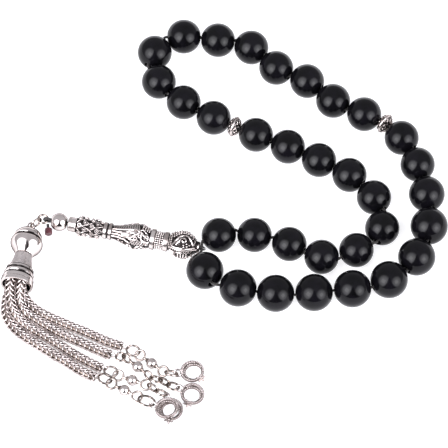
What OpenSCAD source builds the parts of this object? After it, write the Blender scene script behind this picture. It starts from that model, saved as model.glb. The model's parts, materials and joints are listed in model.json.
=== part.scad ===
// Misbaha: a string of 33 prayer beads with two divider discs, a carved head bead and a chain tassel.
// Millimetres, +Z up. The string lies on the table z = 0 and the origin is the middle of that lay.

/* [Beads] */
// Diameter of the beads on most of the string
bead_d = 10; // [9:0.1:10.05]
// Diameter of the larger beads on the last stretch of the string
large_bead_d = 10.8; // [9.5:0.1:10.85]
// Bore through every bead
bead_bore = 2; // [1.8:0.1:2.2]
// Width of the polished countersink round each bore's mouth
bore_flare = 0.4; // [0.3:0.05:0.5]

/* [Cord] */
// Diameter of the stringing cord
cord_d = 0.8; // [0.6:0.05:0.85]

/* [Divider discs] */
// Diameter of a divider disc
divider_d = 6; // [5:0.1:6.6]
// Thickness of a divider disc along the cord
divider_w = 3; // [2.4:0.1:3.2]

/* [Head bead] */
// Length of the carved head bead
imame_len = 38.5; // [38:0.1:39]
// Direction that the head bead points in, from the ball to the mouth, in degrees
imame_turn = -12; // [-13:0.5:-11]
// Height of the head bead's axis above the table
imame_z = 4.15; // [4.1:0.05:4.6]
// Bore that both ends of the cord share
head_bore = 2.3; // [2:0.1:2.6]
// Diameter of the ball between the head bead and the tassel
ball_d = 5.2; // [4.6:0.1:5.2]

/* [Tassel cap] */
// Length of the cap from its open rim to the top of its dome
cap_len = 19.3; // [19:0.1:19.5]
// Direction that the cap points in, from its rim to its eye, in degrees
cap_turn = 78.8; // [78:0.2:79.6]
// Inside radius of the bell at its open end
bell_in_r = 4.1; // [4:0.05:4.2]

/* [Chains and charms] */
// Diameter of one knitted chain
chain_d = 2.5; // [2.2:0.1:2.5]
// Wire of the jump rings
wire_d = 0.55; // [0.45:0.05:0.6]
// Centre-line radius of the jump rings at the chains' ends
jump_r = 1.9; // [1.85:0.05:1.95]
// Diameter of the balls on the links
link_ball_d = 3.1; // [2.6:0.1:3.2]
// Outside radius of a crescent charm
crescent_r = 3.4; // [3.2:0.1:3.5]
// Thickness of a crescent charm
charm_w = 1.1; // [0.8:0.1:1.2]

/* [Hidden] */
$fn = 64;
BEADS = 33;
CHAINS = 4;

// Where each bead stands on the table, in the order of the string from the head bead's mouth.
route = [
    [-1.5, -23.5], [8.75, -23.5], [18.75, -26.5], [28, -30.75], [38, -28.5], [45.5, -21.25],
    [43.25, -11], [36.25, -3.5], [27.5, 1.5], [18.5, 6], [9.25, 10], [-3, 15.75],
    [-11.75, 21], [-19, 28], [-20.25, 38], [-11.75, 43.5], [-1.75, 42.25], [8, 39.75],
    [15.25, 32.75], [24.25, 28.25], [31.75, 21.5], [40.75, 17], [51.5, 9], [56, 0],
    [58.5, -10], [59, -20.75], [55.25, -31], [47.25, -38.5], [36.75, -41.5], [25.75, -42.75],
    [14.75, -43], [4, -41.25], [-5.5, -35.5]
];
// A divider disc follows each of these beads.
divider_after = [11, 22];
// The first of the larger beads is halfway in size.
first_large = 25;

function two_digits(i) = i < 10 ? str("0", i) : str(i);
function bead_name(i) = str("bead_", two_digits(i));
function unit(v) = v / norm(v);
function mix(a, b, f) = a + (b - a) * f;

function bead_size(i) =
    i < first_large ? bead_d : i == first_large ? (bead_d + large_bead_d) / 2 : large_bead_d;
function bead_spot(i) = [route[i - 1][0], route[i - 1][1], bead_size(i) / 2];

// Smooth curve through a list of points (Catmull-Rom), with n steps between neighbours.
function curve_point(p, i, f) =
    let (
        last = len(p) - 1,
        b = p[i],
        c = p[i + 1],
        a = i > 0 ? p[i - 1] : 2 * b - c,
        d = i + 2 <= last ? p[i + 2] : 2 * c - b
    )
    (2 * b + (c - a) * f + (2 * a - 5 * b + 4 * c - d) * f * f + (3 * b - a - 3 * c + d) * f * f * f) / 2;
function curve(p, n) = concat(
    [for (i = [0:len(p) - 2]) for (k = [0:n - 1]) curve_point(p, i, k / n)],
    [p[len(p) - 1]]
);

// Head bead: its axis runs from the ball's end, t = 0, to the mouth, t = imame_len.
imame_dir = [cos(imame_turn), sin(imame_turn), 0];
imame_side = [sin(imame_turn), -cos(imame_turn), 0];
mouth = [-7.1, -27.3, imame_z];
function on_axis(t, side, up) = mouth + (t - imame_len) * imame_dir + side * imame_side + [0, 0, up];

// The two runs of cord lie one above the other inside the head bead and the ball.
run_gap = cord_d / 2 + 0.03;
ball_gap = 0.12;
ball_t = -ball_gap - ball_d / 2;
loop_t = ball_t - ball_d / 2 - 0.8;
loop_r = 0.75;

// Cord bearings at the two beads next to the head bead's mouth
lead_in = mouth + [0.75, 0.75, run_gap];
lead_out = mouth + [0.6, -0.8, -run_gap];
guide_in = [-10, -26.3, 5];
guide_out = [-2.5, -27.5, 5.4];

// Directions of the bores. Each starts out along its neighbours' line, and is then turned a few times
// so that its mouths come to face the mouths next to them.
function first_dir(i) =
    let (
        before = i == 1 ? guide_in : bead_spot(i - 1),
        after = i == BEADS ? guide_out : bead_spot(i + 1)
    )
    unit(after - before);
function faced(dirs, i) =
    let (
        before = i == 1 ? lead_in : bead_spot(i - 1) + dirs[i - 2] * bead_size(i - 1) / 2,
        after = i == BEADS ? lead_out : bead_spot(i + 1) - dirs[i] * bead_size(i + 1) / 2
    )
    unit(after - before);
function settled(dirs, times) =
    times == 0 ? dirs
    : settled([for (i = [1:BEADS]) unit(dirs[i - 1] + faced(dirs, i))], times - 1);
turning_steps = 12;
bore_dirs = settled([for (i = [1:BEADS]) first_dir(i)], turning_steps);
function bore_dir(i) = bore_dirs[i - 1];
function bore_end(i, side) = bead_spot(i) + side * bore_dir(i) * bead_size(i) / 2;
// Inside each mouth the cord lies in the bore's middle
cord_straight = 1.2;
function bore_in(i, side) = bead_spot(i) + side * bore_dir(i) * (bead_size(i) / 2 - cord_straight);
// The cord's place halfway between two neighbouring beads
function between(i) = (bore_end(i, 1) + bore_end(i + 1, -1)) / 2;
function divider_spot(k) = between(divider_after[k]);
function divider_dir(k) = unit(bore_end(divider_after[k] + 1, -1) - bore_end(divider_after[k], 1));

// Whole way of the cord: out of the link ring, through ball and head bead, round the string and back.
cord_way = concat(
    [
        on_axis(loop_t - 1.05, 0, 0.06),
        on_axis(loop_t - 0.75, 0, loop_r * 0.8),
        on_axis(loop_t, 0, loop_r + 0.05),
        on_axis(ball_t - ball_d / 2 + 0.2, 0, run_gap + 0.1),
        on_axis(ball_t, 0, run_gap),
        on_axis(imame_len * 0.4, 0, run_gap),
        on_axis(imame_len - 0.4, 0, run_gap),
        on_axis(imame_len + 0.45, -0.2, run_gap),
        lead_in,
        bore_end(1, -1)
    ],
    [for (i = [1:BEADS]) each [bore_in(i, -1), bore_in(i, 1), i < BEADS ? between(i) : bore_end(i, 1)]],
    [
        lead_out,
        on_axis(imame_len + 0.45, 0.2, -run_gap),
        on_axis(imame_len - 0.4, 0, -run_gap),
        on_axis(imame_len * 0.4, 0, -run_gap),
        on_axis(ball_t, 0, -run_gap),
        on_axis(ball_t - ball_d / 2 + 0.2, 0, -run_gap - 0.1),
        on_axis(loop_t, 0, -loop_r - 0.05),
        on_axis(loop_t - 0.75, 0, -loop_r * 0.8),
        on_axis(loop_t - 1.05, 0, -0.06)
    ]
);

// Round tube along a list of points. Each ring is carried on from the one before without twisting.
function heading(p, i) =
    i == 0 ? unit(p[1] - p[0])
    : i == len(p) - 1 ? unit(p[i] - p[i - 1])
    : unit(unit(p[i + 1] - p[i]) + unit(p[i] - p[i - 1]));
function carried(h, v) = unit(v - (v * h) * h);
function side_list(p, i, v) =
    i == len(p) ? [] : let (w = carried(heading(p, i), v)) concat([w], side_list(p, i + 1, w));
function tube_rings(p, d, sides, start) =
    let (across = side_list(p, 0, start))
    [for (i = [0:len(p) - 1]) for (k = [0:sides - 1])
        let (h = heading(p, i), a = across[i], b = cross(h, a))
        p[i] + d / 2 * (cos(360 * k / sides) * a + sin(360 * k / sides) * b)];

module tube(p, d, start, sides = 8) {
    n = len(p);
    walls = [for (i = [0:n - 2]) for (k = [0:sides - 1])
        [i * sides + k, i * sides + (k + 1) % sides, (i + 1) * sides + (k + 1) % sides, (i + 1) * sides + k]];
    first_end = [[for (k = [sides - 1:-1:0]) k]];
    last_end = [[for (k = [0:sides - 1]) (n - 1) * sides + k]];
    faces = concat(walls, first_end, last_end);
    polyhedron(tube_rings(p, d, sides, start), [for (f = faces) [for (k = [len(f) - 1:-1:0]) f[k]]]);
}

// Turns the child's +Z to a direction
module aim(at, dir) {
    lean = acos(dir[2] / norm(dir));
    turn = atan2(dir[1], dir[0]);
    translate(at) rotate([0, lean, turn]) children();
}

// Wire ring round +Z
module wire_ring(r, wire) {
    rotate_extrude() translate([r, 0]) circle(d = wire, $fn = 24);
}

// Countersunk bore along Z, through a ball of diameter d
module drilled(d, bore) {
    reach = sqrt(d * d - bore * bore) / 2;
    cylinder(h = d + 2, d = bore, center = true);
    for (up = [0, 1])
        mirror([0, 0, up])
            translate([0, 0, reach - bore_flare])
                cylinder(h = bore_flare + 0.5, r1 = bore / 2, r2 = bore / 2 + bore_flare + 0.5);
}

module bead(i) {
    color("#17161b")
        aim(bead_spot(i), bore_dir(i))
            difference() {
                sphere(d = bead_size(i), $fn = 96);
                drilled(bead_size(i), bead_bore);
            }
}

module divider(k) {
    hub_r = 1.5;
    rim_w = 0.5;
    outline = [
        [bead_bore / 2, -divider_w / 2], [hub_r, -divider_w / 2], [divider_d / 2 - 0.1, -rim_w / 2],
        [divider_d / 2, -rim_w / 2 + 0.1], [divider_d / 2, rim_w / 2 - 0.1],
        [divider_d / 2 - 0.1, rim_w / 2], [hub_r, divider_w / 2], [bead_bore / 2, divider_w / 2]
    ];
    color("#b9b4b0") aim(divider_spot(k), divider_dir(k)) rotate_extrude() polygon(outline);
}

// Outline of the head bead, radius over t: stem, two rosette swells, two rings, vase, grid, bulb
stem = [[0, 1.85], [0.25, 2.1], [2.2, 2.1]];
rosettes = curve([[2.4, 2.25], [3.3, 2.85], [4.3, 2.95], [5.3, 2.75], [6.3, 2.35], [7.1, 2.75],
    [7.9, 2.85], [8.9, 2.65], [10.3, 2.2]], 3);
twin_rings = [[10.4, 2.4], [11.4, 2.4], [11.5, 2.15], [11.8, 2.15], [11.9, 2.4], [12.8, 2.4]];
vase = curve([[12.9, 2.2], [14.6, 2.3], [16.6, 2.75], [18.4, 3.4], [20.2, 3.88], [21.8, 3.75],
    [23.2, 3.1], [24.2, 2.75]], 3);
grid_band = [[24.3, 3], [25.5, 3], [25.6, 2.55], [28.1, 2.5], [28.2, 2.8], [29.4, 2.8]];
bulb = curve([[29.5, 2.5], [31, 3.35], [33, 4.05], [34.8, 4], [36.4, 3.1], [37.6, 2.1],
    [imame_len, 1.6]], 3);

module imame() {
    outline = concat([[0, 0]], stem, rosettes, twin_rings, vase, grid_band, bulb, [[imame_len, 0]]);
    color("#aaa5a1")
        aim(on_axis(0, 0, 0), imame_dir)
            difference() {
                rotate_extrude() polygon([for (p = outline) [p[1], p[0]]]);
                translate([0, 0, -1]) cylinder(h = imame_len + 2, d = head_bore);
            }
}

module ball_bead() {
    color("#cfccca")
        aim(on_axis(ball_t, 0, 0), imame_dir)
            difference() {
                sphere(d = ball_d);
                drilled(ball_d, head_bore);
            }
}

module stringing_cord() {
    color("#151310") tube(cord_way, cord_d, [0, 0, 1] + imame_dir);
}

// Sealed end of the cord, cut square, that stands out beside the ball
tail_d = 2.2;
tail_len = 1.9;
tail_start = on_axis(loop_t + 0.1, 0.65, -1.35);
tail_way = [tail_start, on_axis(loop_t + 0.3, 1.3, -1.5), on_axis(loop_t + 0.6, 1.95, -1.6)];
module cord_tail() {
    color("#551b2b") {
        tube(tail_way, cord_d, [0, 0, 1]);
        aim(tail_way[2], imame_side + 0.25 * imame_dir) cylinder(h = tail_len, d = tail_d);
    }
}

// First link ring: lies level, with the cord's loop round its near side
link_wire = 0.5;
link_ring_r = 1.4;
link_ring_at = on_axis(loop_t - link_ring_r, 0, 0);
module link_ring() {
    color("#c4c0bd") translate(link_ring_at) wire_ring(link_ring_r, link_wire);
}

// Cap: its own axis runs from the middle of the rim, s = 0, to the top of the dome
rim_r = 4.75;
cap_dir = [cos(cap_turn), sin(cap_turn), 0];
cap_side = [sin(cap_turn), -cos(cap_turn), 0];
cap_up = [0, 0, 1];
cap_at = [-59.45, -40.1, rim_r];
function in_cap(s, side, up) = cap_at + s * cap_dir + side * cap_side + up * cap_up;

// Second link ring: stands upright between the first ring and the cap's eye
eye_r = 0.85;
eye_at = in_cap(cap_len + 0.95, 0, 0);
to_eye = unit([eye_at[0] - link_ring_at[0], eye_at[1] - link_ring_at[1], 0]);
upper_hold = link_ring_at + 0.8 * to_eye;
lower_hold = eye_at;
upright_ring_r = norm(lower_hold - upper_hold) / 2;
module upright_ring() {
    color("#c4c0bd")
        aim((upper_hold + lower_hold) / 2, cross(to_eye, [0, 0, 1]))
            wire_ring(upright_ring_r, link_wire);
}

// Outline of the cap, radius over s: lip, two ring mouldings, waisted neck, ball with a groove, dome
lip = [[0, rim_r - 0.15], [0.15, rim_r], [1.2, rim_r], [1.4, 4.55], [2.6, 4.5], [2.7, 4.15], [3, 4.15],
    [3.1, 4.4], [4.1, 4.25], [4.2, 3.85], [4.5, 3.85], [4.6, 4.05], [5.6, 3.85]];
neck = curve([[5.7, 3.5], [7, 3.1], [8.6, 2.75], [10.2, 2.5]], 3);
ball_part = curve([[10.4, 2.6], [11, 3.1], [12.4, 4.2], [13.8, 4.7], [15.2, 4.35]], 4);
groove = [[15.3, 3.7], [15.9, 3.7]];
dome = curve([[16, 4.15], [17, 3.9], [17.9, 3.2], [18.6, 2.3], [19.1, 1.3], [cap_len, 0.6]], 3);

// The bell's inside, with a round end above the chains' tops
hollow = concat([[-1, 0], [-1, bell_in_r]],
    curve([[0, bell_in_r], [2, bell_in_r - 0.15], [4.5, 3.3], [5.6, 2.1], [5.9, 1]], 3), [[6, 0]]);
pin_s = 4.35;
pin_d = 0.8;
pin_len = 7.4;
module tassel_cap() {
    outline = concat([[0, 0]], lip, neck, ball_part, groove, dome, [[cap_len, 0]]);
    color("#c9c5c2") {
        difference() {
            aim(cap_at, cap_dir)
                difference() {
                    rotate_extrude() polygon([for (p = outline) [p[1], p[0]]]);
                    rotate_extrude() polygon([for (p = hollow) [p[1], p[0]]]);
                }
            aim(in_cap(pin_s, -pin_len, 0), cap_side) cylinder(h = 2 * pin_len, d = pin_d);
        }
        aim(eye_at, cap_up) wire_ring(eye_r, link_wire);
    }
}

// Cross pin that the chains' top loops hang on
module cap_pin() {
    color("#8d8884")
        aim(in_cap(pin_s, -pin_len / 2, 0), cap_side) cylinder(h = pin_len, d = pin_d - 0.04);
}

// Ways of the four knitted chains, from inside the bell to the table, inner chain first
chain_ways = [
    [[-57.25, -36.75, 3.25], [-57.75, -39, 3.1], [-57.75, -41.25, 2.75], [-56.5, -43.75, 2.1],
        [-54.25, -46, 1.6], [-51, -48, 1.3], [-47.5, -49.75, 1.3], [-44, -51.5, 1.3],
        [-40.5, -53, 1.3], [-37, -54.75, 1.3], [-33.5, -56.5, 1.3], [-29, -58.25, 1.3]],
    [[-57.25, -37, 6.2], [-57.75, -39.25, 6], [-58.25, -42, 5.25], [-58.25, -45, 3.75],
        [-56.5, -47.75, 2.25], [-53.25, -49.75, 1.6], [-49.75, -52, 1.3], [-46, -54.25, 1.3],
        [-42.5, -56, 1.3], [-38.5, -58, 1.3], [-34.5, -60, 1.3], [-32.25, -61, 1.3]],
    [[-60.25, -36.25, 6.2], [-60.75, -38.5, 6], [-61.25, -41.25, 5.4], [-61, -44.75, 4.6],
        [-60, -48, 3.2], [-57.5, -50.75, 2], [-54, -53, 1.4], [-50, -55.5, 1.3],
        [-46.5, -58, 1.3], [-43, -60.5, 1.3], [-39, -63, 1.3], [-34.75, -65.25, 1.3]],
    [[-60.25, -36, 3.25], [-60.75, -38.25, 3.1], [-61.5, -41, 2.5], [-62.25, -44, 1.75],
        [-62.25, -47.5, 1.3], [-60.5, -51.25, 1.3], [-57.25, -54.5, 1.3], [-53.5, -57.25, 1.3],
        [-49.25, -60.25, 1.3], [-45, -63, 1.3], [-40.75, -66, 1.3], [-36.5, -68.25, 1.3]]
];

module chain(k) {
    color("#aba6a3") tube(curve(chain_ways[k], 2), chain_d, [0, 0, 1]);
}

// Lay of the four pendants: each link's ball, then the bearings of the end ring, of the link, of each
// ring that follows and of the charm's eye and the charm, all in degrees.
link_balls = [[-20.6, -63.7], [-24.6, -65.1], [-26.1, -69.2], [-28.3, -72.4]];
end_turns = [-38, -24, -32, -42];
link_turns = [-38, -41, -21, -29];
ring_turns = [[-15], [-25, -25, -25], [-30, -30], [-28]];
eye_turns = [0, -25, -38, -44];
charm_turns = [6, -22, -71, -16];
// Bearing of each charm's star from the middle of its crescent
star_turns = [-43, -112, -100, -80];
// Roll of each link, heights of the links and of the charms' middles, radius of the rings that follow
link_rolls = [22, 75, 18, 15];
link_z = [1.6, 2.1, 1.6, 1.6];
charm_z = [1.9, 1.3, 1.05, 2.75];
ring_rs = [1.75, 1.75, 1.75, 2.4];
// Rolls of the rings that follow, flat ones in turn with upright ones, and of the charms' eyes
ring_rolls = [[-42], [-40, 90, -30], [90, -42], [-30]];
end_rolls = [-14, 0, -16, -20];
end_ring_rs = [jump_r, 1.3, jump_r, jump_r];
eye_rolls = [42, 32, 46, 42];
upright_z = 2.1;
link_eye_r = 1.45;
ball_to_eye = 4.2;
charm_eye_r = 1;
play = 0.3;
charm_reach = crescent_r + 0.7;

function bearing(a) = [cos(a), sin(a), 0];
function hang(r1, r2) = r1 + r2 - wire_d - play;
function link_ball_at(k) = [link_balls[k][0], link_balls[k][1], link_z[k]];
function near_eye_at(k) = link_ball_at(k) - ball_to_eye * bearing(link_turns[k]);
function far_eye_at(k) = link_ball_at(k) + ball_to_eye * bearing(link_turns[k]);
function end_ring_at(k) = level(near_eye_at(k) - hang(end_ring_rs[k], link_eye_r) * bearing(end_turns[k]), 1.6);
function ring_z(k, j) = ring_rolls[k][j] == 90 ? upright_z : 1.6;
function level(p, z) = [p[0], p[1], z];
function ring_at(k, j) =
    let (
        before = j == 0 ? far_eye_at(k) : ring_at(k, j - 1),
        step = hang(ring_rs[k], j == 0 ? link_eye_r : ring_rs[k])
    )
    level(before + step * bearing(ring_turns[k][j]), ring_z(k, j));
function last_ring(k) = len(ring_turns[k]) - 1;
function charm_eye_at(k) =
    level(ring_at(k, last_ring(k)) + hang(ring_rs[k], charm_eye_r) * bearing(eye_turns[k]),
        mix(1.6, charm_z[k], 0.4));
function charm_at(k) = level(charm_eye_at(k) + charm_reach * bearing(charm_turns[k]), charm_z[k]);

// Lays a child out along a bearing, rolled about it
module laid(at, turn, roll) {
    translate(at) rotate([0, 0, turn]) rotate([roll, 0, 0]) children();
}

module end_rings() {
    color("#c4c0bd")
        for (k = [0:CHAINS - 1])
            laid(end_ring_at(k), end_turns[k], end_rolls[k]) wire_ring(end_ring_rs[k], wire_d);
}

module ball_link(k) {
    neck_d = 0.9;
    neck_len = ball_to_eye - link_eye_r + 0.1;
    color("#c9c5c2")
        laid(link_ball_at(k), link_turns[k], link_rolls[k]) {
            sphere(d = link_ball_d);
            for (end = [-1, 1]) {
                translate([end * ball_to_eye, 0, 0]) wire_ring(link_eye_r, wire_d);
                rotate([0, 90 * end, 0]) cylinder(h = neck_len, d = neck_d);
            }
        }
}

module charm_rings(k) {
    color("#c4c0bd")
        for (j = [0:last_ring(k)])
            laid(ring_at(k, j), ring_turns[k][j], ring_rolls[k][j]) wire_ring(ring_rs[k], wire_d);
}

// Five-pointed star outline with one point along +X
module star_outline(r) {
    polygon([for (i = [0:9]) (i % 2 == 0 ? r : 0.45 * r) * [cos(36 * i), sin(36 * i)]]);
}

// Crescent with a star between its horns, hung by an eye at its -X end
module charm(k) {
    hole_r = 2.2;
    hole_off = 0.5;
    star_r = 1.5;
    lean = asin((charm_eye_at(k)[2] - charm_at(k)[2]) / charm_reach);
    color("#cbc7c4")
        translate(charm_at(k)) rotate([0, lean, charm_turns[k]]) {
            rotate(star_turns[k] - charm_turns[k]) {
                linear_extrude(charm_w, center = true)
                    difference() {
                        circle(r = crescent_r);
                        translate([hole_off, 0]) circle(r = hole_r);
                    }
                translate([crescent_r, 0, 0])
                    linear_extrude(charm_w + 0.3, center = true) star_outline(star_r);
            }
            translate([-charm_reach, 0, 0]) rotate([eye_rolls[k], 0, 0]) wire_ring(charm_eye_r, wire_d);
        }
}

for (i = [1:BEADS]) bead(i);
for (k = [1:2]) divider(k - 1);
imame();
ball_bead();
stringing_cord();
cord_tail();
link_ring();
upright_ring();
tassel_cap();
cap_pin();
for (k = [1:CHAINS]) chain(k - 1);
end_rings();
for (k = [1:CHAINS]) ball_link(k - 1);
for (k = [1:CHAINS]) charm_rings(k - 1);
for (k = [1:CHAINS]) charm(k - 1);
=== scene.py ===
import json
import math

import bpy
from mathutils import Matrix, Vector


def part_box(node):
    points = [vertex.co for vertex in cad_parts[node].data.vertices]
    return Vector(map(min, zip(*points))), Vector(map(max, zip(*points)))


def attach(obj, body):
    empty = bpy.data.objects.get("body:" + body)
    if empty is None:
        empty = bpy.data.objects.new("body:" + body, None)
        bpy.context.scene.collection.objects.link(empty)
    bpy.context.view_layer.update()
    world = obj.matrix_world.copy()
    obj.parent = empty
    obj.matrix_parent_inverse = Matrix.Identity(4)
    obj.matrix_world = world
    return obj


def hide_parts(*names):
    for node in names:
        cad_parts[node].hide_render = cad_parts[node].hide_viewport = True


# A misbaha lying on a white table: polished black beads, cast silver head bead, and a tassel of
# four knitted silver chains. Lengths below are millimetres unless a name says otherwise.

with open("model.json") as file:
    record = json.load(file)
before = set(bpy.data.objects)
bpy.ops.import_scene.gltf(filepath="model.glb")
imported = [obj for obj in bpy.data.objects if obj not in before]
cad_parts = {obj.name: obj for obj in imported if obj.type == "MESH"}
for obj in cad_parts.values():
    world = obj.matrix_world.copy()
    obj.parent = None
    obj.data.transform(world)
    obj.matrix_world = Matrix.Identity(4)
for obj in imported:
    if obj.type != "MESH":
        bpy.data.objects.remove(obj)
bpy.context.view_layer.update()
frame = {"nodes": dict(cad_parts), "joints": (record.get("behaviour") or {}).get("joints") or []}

MM = 0.001
BEADS = 33
CHAINS = 4
UP = Vector((0, 0, 1))

# --- Camera: looks down at the table along +Y ---

VIEW_HEIGHT = 60.0
VIEW_DISTANCE = 1.8
VIEW_WIDTH = 0.1293
SENSOR = 36.0

view_centre = Vector((0, -17, 0)) * MM
tilt = math.radians(VIEW_HEIGHT)
toward_camera = Vector((0, -math.cos(tilt), math.sin(tilt)))
bpy.ops.object.camera_add(location=view_centre + toward_camera * VIEW_DISTANCE)
camera = bpy.context.object
camera.name = "view_camera"
camera.rotation_euler = (math.radians(90 - VIEW_HEIGHT), 0, 0)
camera.data.sensor_width = SENSOR
camera.data.lens = SENSOR * VIEW_DISTANCE / VIEW_WIDTH
camera.data.clip_start = 0.05
camera.data.clip_end = 20
bpy.context.scene.camera = camera


# --- Modelling helpers ---


def pick(*objs):
    """Selects only these objects, the first of them active."""
    if bpy.context.object and bpy.context.object.mode != "OBJECT":
        bpy.ops.object.mode_set(mode="OBJECT")
    bpy.ops.object.select_all(action="DESELECT")
    for obj in objs:
        obj.select_set(True)
    bpy.context.view_layer.objects.active = objs[0] if objs else None


def settle(obj, matrix=None):
    """Puts a piece in its place and moves that place into its mesh."""
    if matrix is not None:
        obj.matrix_world = matrix @ obj.matrix_world
    pick(obj)
    bpy.ops.object.transform_apply(location=True, rotation=True, scale=True)
    return obj


def join(name, objs):
    """Joins pieces into the first of them."""
    pick(*objs)
    if len(objs) > 1:
        bpy.ops.object.join()
    objs[0].name = name
    objs[0].data.name = name
    return objs[0]


def smooth(obj, angle=35):
    """Rounds the shading except across edges sharper than the angle."""
    pick(obj)
    bpy.ops.object.shade_smooth_by_angle(angle=math.radians(angle))
    return obj


def copies(model, places):
    """One copy of a finished shape, with its own mesh, for each place. The model itself goes."""
    made = []
    for place in places:
        one = model.copy()
        one.data = model.data.copy()
        bpy.context.collection.objects.link(one)
        one.matrix_world = place @ model.matrix_world
        made.append(one)
    bpy.data.objects.remove(model)
    return made


def curve(points, steps, closed=False):
    """Catmull-Rom curve through points, as the CAD tubes follow it."""
    points = [Vector(p) for p in points]
    last = len(points) - 1
    out = []
    for i in range(last + 1 if closed else last):
        b = points[i]
        c = points[(i + 1) % (last + 1)]
        a = points[i - 1] if closed or i > 0 else 2 * b - c
        d = points[(i + 2) % (last + 1)] if closed or i + 2 <= last else 2 * c - b
        for k in range(steps):
            f = k / steps
            out.append(
                (2 * b + (c - a) * f + (2 * a - 5 * b + 4 * c - d) * f * f + (3 * b - a - 3 * c + d) * f**3)
                / 2
            )
    if not closed:
        out.append(points[last])
    return out


def line(points, closed=False):
    """A thin curve object through points in millimetres."""
    pick()
    bpy.ops.curve.primitive_nurbs_path_add(location=(0, 0, 0))
    obj = bpy.context.object
    obj.data.splines.clear()
    spline = obj.data.splines.new("POLY")
    spline.points.add(len(points) - 1)
    for point, place in zip(spline.points, points):
        point.co = (*(Vector(place) * MM), 1)
    spline.use_cyclic_u = closed
    return obj


def wire(points, radius, closed=False, round_steps=1):
    """A round wire along points. round_steps 1 gives 6 sides, 3 gives 10."""
    obj = line(points, closed)
    obj.data.bevel_depth = radius * MM
    obj.data.bevel_resolution = round_steps
    obj.data.use_fill_caps = not closed
    obj.data.twist_mode = "MINIMUM"
    pick(obj)
    bpy.ops.object.convert(target="MESH")
    return obj


def lathe(profile, steps=96):
    """Turns a profile of (place along the axis, radius) about Z."""
    obj = line([(r, 0, s) for s, r in profile])
    pick(obj)
    bpy.ops.object.convert(target="MESH")
    bpy.ops.object.mode_set(mode="EDIT")
    bpy.ops.mesh.select_all(action="SELECT")
    bpy.ops.mesh.spin(steps=steps, angle=2 * math.pi, center=(0, 0, 0), axis=(0, 0, 1))
    bpy.ops.mesh.select_all(action="SELECT")
    bpy.ops.mesh.remove_doubles(threshold=0.000004)
    bpy.ops.mesh.normals_make_consistent(inside=False)
    bpy.ops.object.mode_set(mode="OBJECT")
    return obj


def ball(radius, segments=24, rings=12, stretch=(1, 1, 1)):
    pick()
    bpy.ops.mesh.primitive_uv_sphere_add(segments=segments, ring_count=rings, radius=radius * MM)
    obj = bpy.context.object
    obj.scale = stretch
    return settle(obj)


def ring(radius, thick, segments=48, sides=12):
    pick()
    bpy.ops.mesh.primitive_torus_add(
        major_radius=radius * MM, minor_radius=thick / 2 * MM, major_segments=segments, minor_segments=sides
    )
    return bpy.context.object


def cut_ring(radius, thick, start=0.0, gap=7.0):
    """A jump ring bent from wire, with the cut where its two ends meet."""
    count = 40
    angles = [math.radians(start + gap / 2 + (360 - gap) * k / count) for k in range(count + 1)]
    points = [(radius * math.cos(a), radius * math.sin(a), 0) for a in angles]
    return smooth(wire(points, thick / 2, round_steps=3))


def facing(at, z_dir, x_hint=UP):
    """Place in millimetres whose Z runs along z_dir and whose X leans to x_hint."""
    z = Vector(z_dir).normalized()
    hint = Vector(x_hint)
    if abs(z.dot(hint.normalized())) > 0.99:
        hint = Vector((1, 0, 0))
    x = (hint - z * hint.dot(z)).normalized()
    place = Matrix((x, z.cross(x), z)).transposed().to_4x4()
    place.translation = Vector(at) * MM
    return place


def laid(at, turn, roll=0.0):
    """Place that lies along a bearing on the table, rolled about that bearing, in degrees."""
    return (
        Matrix.Translation(Vector(at) * MM)
        @ Matrix.Rotation(math.radians(turn), 4, "Z")
        @ Matrix.Rotation(math.radians(roll), 4, "X")
    )


def bearing(angle):
    return Vector((math.cos(math.radians(angle)), math.sin(math.radians(angle)), 0))


def paint(obj, *materials):
    obj.data.materials.clear()
    for material in materials:
        obj.data.materials.append(material)
    return obj


def belongs(obj, body, slot, *nodes):
    """The piece moves with a body and stands for CAD nodes; the slot argument is not used."""
    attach(obj, body)
    if nodes:
        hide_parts(*nodes)
    return obj


# --- Materials ---
# Texture scales are cells per metre: 1000 / scale is about a pattern's size in millimetres.


def srgb(code):
    """Linear colour from an sRGB hex value."""
    parts = [int(code[i : i + 2], 16) / 255 for i in (1, 3, 5)]
    return (*[c / 12.92 if c <= 0.04045 else ((c + 0.055) / 1.055) ** 2.4 for c in parts], 1)


def plug(tree, node, values=None, links=None):
    """Sets a node's sockets: values are numbers or colours, links come from other nodes."""
    for key, value in (values or {}).items():
        node.inputs[key].default_value = value
    for key, source in (links or {}).items():
        tree.links.new(source, node.inputs[key])
    return node


def add(tree, kind, values=None, links=None, stops=(), **settings):
    """Adds a shader node: settings are its properties, stops a ramp's places and colours."""
    made = tree.nodes.new(kind)
    for key, value in settings.items():
        setattr(made, key, value)
    if stops:
        bar = made.color_ramp
        while len(bar.elements) > 1:
            bar.elements.remove(bar.elements[-1])
        bar.elements[0].position, bar.elements[0].color = stops[0]
        for position, colour in stops[1:]:
            bar.elements.new(position).color = colour
    return plug(tree, made, values, links)


def material(name):
    """A named material with its Principled shader and object coordinates."""
    made = bpy.data.materials.new(name)
    made.use_nodes = True
    tree = made.node_tree
    shader = tree.nodes["Principled BSDF"]
    place = add(tree, "ShaderNodeTexCoord").outputs["Object"]
    return made, tree, shader, place


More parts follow.
